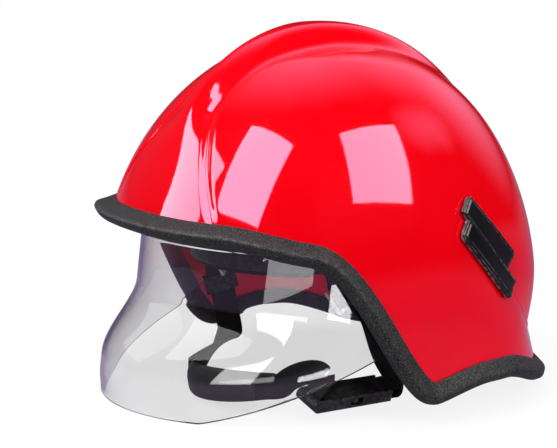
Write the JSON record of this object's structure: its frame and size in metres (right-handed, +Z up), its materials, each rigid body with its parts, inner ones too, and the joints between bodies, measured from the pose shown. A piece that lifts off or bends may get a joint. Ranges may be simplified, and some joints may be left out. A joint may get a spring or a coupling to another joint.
{
  "type": "fire helmet",
  "caption": "Jet-style fire helmet with a crested glossy shell, rubber edge trim, swinging clear face visor, impact liner, ratchet headband and a buckled chin strap.",
  "frame": {"origin": "under the head opening, in the middle plane, level with the lowest points of the trim and the visor", "axes": "+Z up, -Y out of the face opening, +X to the wearer's left"},
  "size_m": [0.262, 0.3139, 0.2397],
  "materials": {
    "shell_paint": "glossy red moulded composite",
    "trim_rubber": "matt black rubber with a fine grain",
    "liner_foam": "moulded black foam",
    "webbing": "woven black webbing",
    "pad_fabric": "black padded fabric",
    "piping": "silver sewn cord",
    "clip_plastic": "dark grey nylon",
    "band_plastic": "black moulded plastic",
    "gear_metal": "grey acetal",
    "knob_plastic": "black rubber-like grip",
    "screw_steel": "zinc-plated steel",
    "lens": "clear polished polycarbonate",
    "bush_plastic": "black acetal",
    "bracket_plastic": "semi-matt black moulded plastic",
    "buckle_plastic": "satin black acetal",
    "cup_leather": "black leather"
  },
  "bodies": {
    "helmet": {"outer_shell": "shell_paint", "edge_trim": "trim_rubber", "impact_liner": "liner_foam", "crown_straps": "webbing", "crown_pad": "pad_fabric", "harness_clips": "clip_plastic", "headband": "band_plastic", "brow_pad": "pad_fabric", "temple_pads": "pad_fabric", "pad_piping": "piping", "tail_guides": "band_plastic", "nape_housing": "band_plastic", "nape_pad": "pad_fabric", "pivot_plates": "clip_plastic", "friction_washers": "screw_steel", "pivot_screws": "screw_steel", "bracket_left": "bracket_plastic", "bracket_right": "bracket_plastic", "bracket_screws": "screw_steel", "bracket_washers": "screw_steel", "strap_clips": "clip_plastic", "clip_rivets": "screw_steel", "chin_strap_right": "webbing", "chin_strap_left": "webbing", "strap_slider": "buckle_plastic", "chin_cup": "cup_leather", "chin_pad": "pad_fabric", "buckle_socket": "buckle_plastic", "strap_keeper": "buckle_plastic"},
    "visor": {"visor_lens": "lens", "visor_bushes": "bush_plastic"},
    "knob": {"ratchet_knob": "knob_plastic", "pinion": "gear_metal", "knob_screw": "screw_steel"},
    "tail_left": {"band_tail_left": "clip_plastic"},
    "tail_right": {"band_tail_right": "clip_plastic"},
    "tongue": {"buckle_tongue": "buckle_plastic", "tongue_strap": "webbing"},
    "outer_prong": {"prong_outer": "buckle_plastic"},
    "inner_prong": {"prong_inner": "buckle_plastic"}
  },
  "joints": [
    {"name": "visor_hinge", "type": "hinge", "parent": "helmet", "child": "visor", "pos_m": [0, 0, 0.075], "axis": [-1, 0, 0], "range_deg": [0, 22]},
    {"name": "knob_turn", "type": "hinge", "parent": "helmet", "child": "knob", "pos_m": [0, 0.02, 0.072], "axis": [0, 1, 0], "range_deg": [-110, 110]},
    {"name": "tail_left_slide", "type": "hinge", "parent": "helmet", "child": "tail_left", "pos_m": [0, 0.02, 0.072], "axis": [0, 0, 1], "range_deg": [-6.6, 6.6]},
    {"name": "tail_right_slide", "type": "hinge", "parent": "helmet", "child": "tail_right", "pos_m": [0, 0.02, 0.072], "axis": [0, 0, 1], "range_deg": [-6.6, 6.6]},
    {"name": "tongue_slide", "type": "slide", "parent": "helmet", "child": "tongue", "axis": [0, -1, 0], "range_m": [0, 0.015]},
    {"name": "outer_prong_flex", "type": "hinge", "parent": "tongue", "child": "outer_prong", "pos_m": [0.08841, -0.064, 0.01155], "axis": [0.2588, 0, 0.9659], "range_deg": [0, 11.2]},
    {"name": "inner_prong_flex", "type": "hinge", "parent": "tongue", "child": "inner_prong", "pos_m": [0.07759, -0.064, 0.01445], "axis": [-0.2588, 0, -0.9659], "range_deg": [0, 11.2]}
  ],
  "couplings": [
    {"joint": "tail_left_slide", "follows": "knob_turn", "ratio": -0.0586},
    {"joint": "tail_right_slide", "follows": "knob_turn", "ratio": 0.0586},
    {"joint": "outer_prong_flex", "follows": "tongue_slide", "rad_per_m": 12.8},
    {"joint": "inner_prong_flex", "follows": "tongue_slide", "rad_per_m": 12.8}
  ]
}
